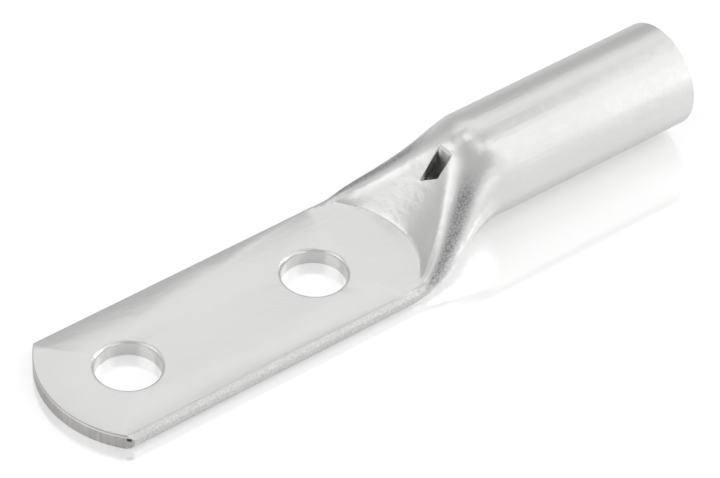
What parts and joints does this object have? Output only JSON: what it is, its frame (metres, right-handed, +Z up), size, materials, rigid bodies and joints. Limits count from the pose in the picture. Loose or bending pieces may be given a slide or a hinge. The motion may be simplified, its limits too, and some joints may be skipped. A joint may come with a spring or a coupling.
{
  "type": "copper cable lug",
  "caption": "Tin-plated copper tube cable lug: round crimp barrel, pressed transition with a sight window, and a flat palm with bolt holes in line.",
  "frame": {"origin": "midway between the two bolt holes, on the palm's underside", "axes": "+X from the palm towards the barrel's mouth, +Y across the palm, +Z up from the palm's underside"},
  "size_m": [0.149, 0.0326, 0.0222],
  "materials": {
    "tinned_copper": "satin electro-tinned copper"
  },
  "bodies": {
    "root": {"cable_lug": "tinned_copper"}
  },
  "joints": []
}
